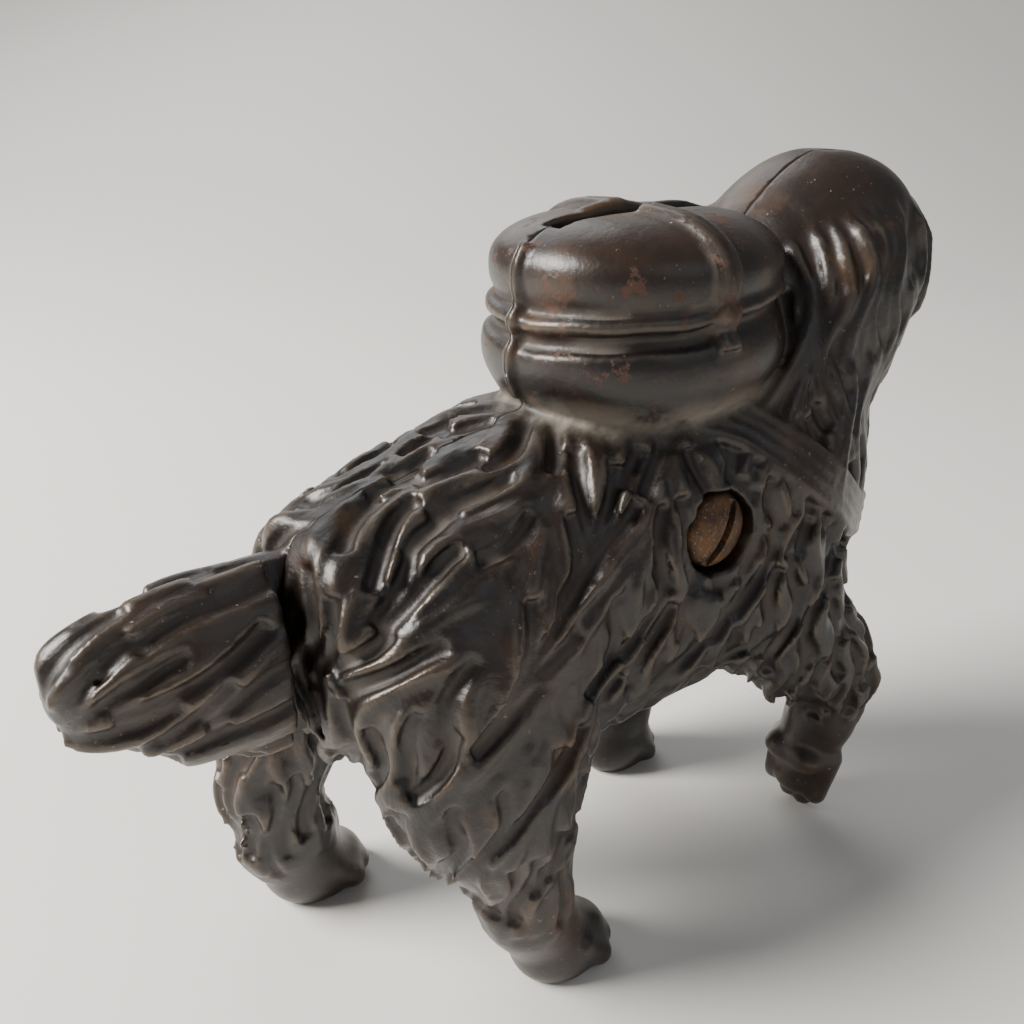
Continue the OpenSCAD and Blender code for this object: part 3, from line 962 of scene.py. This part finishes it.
def buildScrew():
    # a lathe profile for the head and shank, then the slot, then the rolled thread
    reach = (screwHigh[0] - screwLow[0]) / 2
    tip = screwHigh[1]
    thread = 2.4
    mesh = bpy.data.meshes.new("assembly_screw_detailed")
    bm = bmesh.new()
    rows = []
    for i in range(11):
        a = math.pi / 2 * i / 10
        drop = headHigh * screw["domed"] * (1 - math.cos(a))
        rows.append((reach * math.sin(a) * 0.985 + 0.0001, headTop + 0.02 + drop))
    rows += [(reach * 0.995, seat - 0.5), (reach * 0.985, seat - 0.12), (reach * 0.955, seat - 0.005),
             (2.75, seat - 0.005), (2.42, seat + 0.2), (2.4, seat + 0.6), (2.4, screw["threadFrom"] - 0.4)]
    around = screw["around"]
    start = screw["threadFrom"]
    count = int((tip - 0.6 - start) / screw["pitch"] * screw["perTurn"])
    rings = [[(r, y) for _ in range(around)] for r, y in rows]
    for k in range(count + 1):
        y = start + (tip - 0.6 - start) * k / count
        ring = []
        for j in range(around):
            turn = (y - start) / screw["pitch"] - j / around
            saw = abs((turn % 1.0) * 2 - 1)
            fade = min(1, k / screw["perTurn"], (count - k) / screw["perTurn"] + 0.25)
            depth = (thread - screw["core"]) * min(max((saw - 0.12) / 0.7, 0), 1)
            ring.append((thread - depth * fade, y))
        rings.append(ring)
    rings.append([(1.5, tip - 0.12)] * around)
    rings.append([(1.1, tip - 0.01)] * around)
    loops = []
    for ring in rings:
        loops.append([bm.verts.new(((screwX + r * math.cos(2 * math.pi * j / around)) * mm, y * mm,
                                    (screwZ + r * math.sin(2 * math.pi * j / around)) * mm))
                      for j, (r, y) in enumerate(ring)])
    for a, b in zip(loops[:-1], loops[1:]):
        for j in range(around):
            bm.faces.new((a[j], a[(j + 1) % around], b[(j + 1) % around], b[j]))
    bm.faces.new(loops[-1])
    bmesh.ops.contextual_create(bm, geom=loops[0])
    bmesh.ops.recalc_face_normals(bm, faces=bm.faces)
    bm.to_mesh(mesh)
    bm.free()
    obj = bpy.data.objects.new("assembly_screw_detailed", mesh)
    bpy.context.collection.objects.link(obj)

    cutter = bpy.data.meshes.new("slot cutter")
    bm = bmesh.new()
    bmesh.ops.create_cube(bm, size=1.0)
    turn = math.radians(screw["slotTurn"])
    for v in bm.verts:
        along, deep, wide = v.co.x * 12, v.co.y * 4, v.co.z * screw["slotWide"]
        v.co = Vector((screwX + along * math.cos(turn) - wide * math.sin(turn),
                       headTop + screw["slotDeep"] - 2 + deep,
                       screwZ + along * math.sin(turn) + wide * math.cos(turn))) * mm
    bm.to_mesh(cutter)
    bm.free()
    tool = bpy.data.objects.new("slot cutter", cutter)
    bpy.context.collection.objects.link(tool)
    cut = obj.modifiers.new("slot", "BOOLEAN")
    cut.operation, cut.object, cut.solver = "DIFFERENCE", tool, "EXACT"
    soften = obj.modifiers.new("soften", "BEVEL")
    soften.width, soften.segments = 0.00012, 2
    soften.limit_method, soften.angle_limit = "ANGLE", math.radians(50)
    view = bpy.context.evaluated_depsgraph_get()
    made = bpy.data.meshes.new_from_object(obj.evaluated_get(view))
    obj.modifiers.clear()
    obj.data = made
    bpy.data.objects.remove(tool)
    made.shade_smooth()
    made.set_sharp_from_angle(angle=math.radians(40))
    return obj


class Paint:
    # short hand for a material's nodes
    def __init__(self, name):
        self.material = bpy.data.materials.new(name)
        self.material.use_nodes = True
        self.nodes, self.links = self.material.node_tree.nodes, self.material.node_tree.links
        self.shader = self.nodes["Principled BSDF"]
        self.place = self.nodes.new("ShaderNodeTexCoord").outputs["Object"]

    def link(self, value, socket):
        if isinstance(value, (int, float)):
            socket.default_value = value
        elif isinstance(value, tuple):
            socket.default_value = value if len(value) == len(socket.default_value) else (*value, 1)
        else:
            self.links.new(value, socket)

    def attribute(self, name, vector=False):
        n = self.nodes.new("ShaderNodeAttribute")
        n.attribute_name = name
        return n.outputs["Vector" if vector else "Fac"]

    def math(self, operation, a, b=0.0, clamp=False):
        n = self.nodes.new("ShaderNodeMath")
        n.operation, n.use_clamp = operation, clamp
        self.link(a, n.inputs[0])
        self.link(b, n.inputs[1])
        return n.outputs[0]

    def noise(self, scale, detail=4.0, rough=0.55, at=None):
        n = self.nodes.new("ShaderNodeTexNoise")
        self.link(self.place if at is None else at, n.inputs["Vector"])
        n.inputs["Scale"].default_value = scale
        n.inputs["Detail"].default_value = detail
        n.inputs["Roughness"].default_value = rough
        return n.outputs[0]

    def spread(self, value, low, high, to_low=0.0, to_high=1.0):
        n = self.nodes.new("ShaderNodeMapRange")
        n.interpolation_type = "SMOOTHSTEP"
        self.link(value, n.inputs["Value"])
        for name, v in (("From Min", low), ("From Max", high), ("To Min", to_low), ("To Max", to_high)):
            n.inputs[name].default_value = v
        return n.outputs["Result"]

    def mix(self, share, a, b):
        n = self.nodes.new("ShaderNodeMix")
        n.data_type = "RGBA"
        self.link(share, n.inputs[0])
        self.link(a, n.inputs[6])
        self.link(b, n.inputs[7])
        return n.outputs[2]

    def bump(self, height, strength, distance, under=None):
        n = self.nodes.new("ShaderNodeBump")
        n.inputs["Strength"].default_value = strength
        n.inputs["Distance"].default_value = distance
        self.link(height, n.inputs["Height"])
        if under is not None:
            self.link(under, n.inputs["Normal"])
        return n.outputs["Normal"]


finish = {
    "paint": (0.0072, 0.0050, 0.0040),      # black-brown japan
    "paintWarm": (0.027, 0.0142, 0.0080),
    "amber": (0.10, 0.046, 0.015),
    "rust": (0.055, 0.020, 0.010),
    "bareIron": (0.20, 0.165, 0.13),
    "dust": (0.26, 0.23, 0.19),
}


def japannedIron():
    p = Paint("worn japanned cast iron")
    proud, dust = p.attribute("proud"), p.attribute("dust")
    onPack, furred, hair = p.attribute("onPack"), p.attribute("furred"), p.attribute("hair", True)
    cloudy = p.noise(38, 5, 0.6)
    patchy = p.noise(95, 6, 0.62)
    gritty = p.noise(620, 5, 0.6)
    specks = p.noise(1500, 3, 0.6)
    color = p.mix(p.spread(cloudy, 0.42, 0.66), finish["paint"], finish["paintWarm"])
    color = p.mix(p.math("MULTIPLY", p.spread(patchy, 0.53, 0.72), 0.45), color, finish["amber"])
    uneven = p.math("MULTIPLY", p.math("SUBTRACT", patchy, 0.5), 0.16)
    sunk = p.spread(p.math("ADD", proud, uneven), -0.02, -0.14)
    color = p.mix(p.math("MULTIPLY", sunk, 0.5), color, (0.018, 0.0105, 0.007))
    # red-brown chips where the paint is off, mostly on the pack
    chips = p.spread(p.noise(210, 6, 0.7), 0.585, 0.625)
    where = p.math("ADD", onPack, p.math("MULTIPLY", cloudy, 0.5))
    chips = p.math("MULTIPLY", chips, p.spread(where, 0.3, 1.0, 0.06, 0.9))
    color = p.mix(chips, color, finish["rust"])
    # bright wear on what stands proud
    grain = p.math("MULTIPLY", p.math("SUBTRACT", gritty, 0.5), 0.34)
    worn = p.math("ADD", p.math("MULTIPLY", proud, 1.6), grain)
    worn = p.math("ADD", worn, p.math("MULTIPLY", p.math("SUBTRACT", cloudy, 0.5), 0.55))
    worn = p.spread(worn, 0.2, 0.55)
    color = p.mix(p.math("MULTIPLY", worn, 0.3), color, finish["bareIron"])
    pale = p.math("MULTIPLY", p.spread(specks, 0.67, 0.74), p.spread(cloudy, 0.4, 0.6, 0.08, 0.6))
    color = p.mix(pale, color, (0.33, 0.27, 0.20))
    crust = p.math("MULTIPLY", dust, p.spread(patchy, 0.36, 0.6))
    inFolds = p.math("MULTIPLY", sunk, p.spread(p.noise(60, 3), 0.56, 0.66))
    crust = p.math("MAXIMUM", crust, p.math("MULTIPLY", inFolds, 0.3))
    color = p.mix(p.math("MULTIPLY", crust, 0.7), color, finish["dust"])
    p.link(color, p.shader.inputs["Base Color"])
    rough = p.math("ADD", 0.27, p.math("MULTIPLY", patchy, 0.2))
    rough = p.math("ADD", rough, p.math("MULTIPLY", chips, 0.3))
    rough = p.math("ADD", rough, p.math("MULTIPLY", crust, 0.45))
    rough = p.math("ADD", rough, p.math("MULTIPLY", sunk, 0.14), clamp=True)
    p.link(rough, p.shader.inputs["Roughness"])
    p.link(p.math("MULTIPLY", worn, 0.5), p.shader.inputs["Metallic"])
    p.shader.inputs["Specular IOR Level"].default_value = 0.5
    p.shader.inputs["Coat Weight"].default_value = 0.1
    p.shader.inputs["Coat Roughness"].default_value = 0.28
    strands = p.noise(0.85, 3, 0.55, at=hair)
    fine = p.math("MULTIPLY", strands, furred)
    under = p.bump(fine, 0.13, 0.0008)
    under = p.bump(p.noise(330, 5, 0.6), 0.25, 0.0005, under)
    under = p.bump(p.math("ADD", gritty, p.math("MULTIPLY", chips, -0.5)), 0.22, 0.00022, under)
    p.link(under, p.shader.inputs["Normal"])
    return p.material


def rustyScrew():
    p = Paint("dull rusty steel")
    cloudy = p.noise(420, 5, 0.6)
    grit = p.noise(2600, 4, 0.65)
    color = p.mix(p.spread(cloudy, 0.38, 0.62), (0.052, 0.030, 0.019), (0.135, 0.068, 0.030))
    color = p.mix(p.math("MULTIPLY", p.spread(grit, 0.56, 0.7), 0.7), color, (0.26, 0.21, 0.16))
    p.link(color, p.shader.inputs["Base Color"])
    p.link(p.spread(cloudy, 0.3, 0.7, 0.4, 0.62), p.shader.inputs["Roughness"])
    p.shader.inputs["Metallic"].default_value = 0.55
    under = p.bump(p.noise(900, 5, 0.65), 0.35, 0.0002)
    under = p.bump(grit, 0.25, 0.00008, under)
    p.link(under, p.shader.inputs["Normal"])
    return p.material


print("making the screw and the finishes")
iron, rusty = japannedIron(), rustyScrew()
detailedScrew = buildScrew()
for obj, material in ((rightCasting, iron), (leftCasting, iron), (detailedScrew, rusty)):
    obj.data.materials.clear()
    obj.data.materials.append(material)
for obj, part, bodyName in ((rightCasting, "right_half", "right_half"),
                            (leftCasting, "left_half", "left_half"),
                            (detailedScrew, "assembly_screw", "screw")):
    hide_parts(part)
    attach(obj, bodyName)


view = {
    "at": (-0.0742, -0.0875, 0.105),
    "ahead": (0.592, 0.806),
    "down": 24.08,              # degrees
    "lens": 35.16,
}


def buildFloor():
    mesh = bpy.data.meshes.new("floor")
    reach, rise = 1.2, 40
    points = []
    for i in range(rise + 1):
        # a sheet that curves up behind the bank
        t = i / rise
        if t < 0.5:
            y, z = -1.2 + 3.2 * t, 0
        else:
            a = (t - 0.5) * math.pi
            y, z = 0.4 + 0.9 * math.sin(a), 0.9 * (1 - math.cos(a))
        points += [(-reach * 1.6, y, z), (reach * 1.6, y, z)]
    turn = math.atan2(view["ahead"][1], view["ahead"][0]) - math.pi / 2
    c, s = math.cos(turn), math.sin(turn)
    points = [(x * c - y * s, x * s + y * c, z) for x, y, z in points]
    faces = [(2 * i, 2 * i + 1, 2 * i + 3, 2 * i + 2) for i in range(rise)]
    mesh.from_pydata(points, [], faces)
    mesh.shade_smooth()
    floor = bpy.data.objects.new("floor", mesh)
    bpy.context.collection.objects.link(floor)
    p = Paint("pale paper")
    p.link(p.mix(p.noise(6, 3), (0.80, 0.775, 0.73), (0.84, 0.815, 0.775)), p.shader.inputs["Base Color"])
    p.shader.inputs["Roughness"].default_value = 0.85
    mesh.materials.append(p.material)


def lamp(name, at, size, power, color, to=(0, 0, 0.045)):
    light = bpy.data.lights.new(name, "AREA")
    light.shape, light.size, light.energy, light.color = "DISK", size, power, color
    obj = bpy.data.objects.new(name, light)
    bpy.context.collection.objects.link(obj)
    obj.location = at
    obj.rotation_euler = (Vector(to) - Vector(at)).to_track_quat("-Z", "Y").to_euler()


print("setting the table, lights and camera")
buildFloor()
ahead = Vector((*view["ahead"], 0)).normalized()
right = ahead.cross(Vector((0, 0, 1)))
lamp("window", -right * 0.62 - ahead * 0.10 + Vector((0, 0, 0.52)), 0.42, 17.0, (1.0, 0.965, 0.92))
lamp("room", right * 0.7 - ahead * 0.5 + Vector((0, 0, 0.6)), 0.9, 1.2, (0.93, 0.96, 1.0))
lamp("back", ahead * 0.7 - right * 0.25 + Vector((0, 0, 0.6)), 0.7, 2.2, (0.94, 0.97, 1.0))
world = bpy.data.worlds.new("studio")
bpy.context.scene.world = world
world.use_nodes = True
world.node_tree.nodes["Background"].inputs["Color"].default_value = (0.90, 0.92, 0.96, 1)
world.node_tree.nodes["Background"].inputs["Strength"].default_value = 0.22

camera = bpy.data.objects.new("camera", bpy.data.cameras.new("camera"))
bpy.context.collection.objects.link(camera)
camera.location = view["at"]
down = math.radians(view["down"])
look = ahead * math.cos(down) + Vector((0, 0, -math.sin(down)))
camera.rotation_euler = look.to_track_quat("-Z", "Y").to_euler()
camera.data.lens, camera.data.sensor_width = view["lens"], 36
camera.data.clip_start = 0.01
bpy.context.scene.camera = camera

print("done")
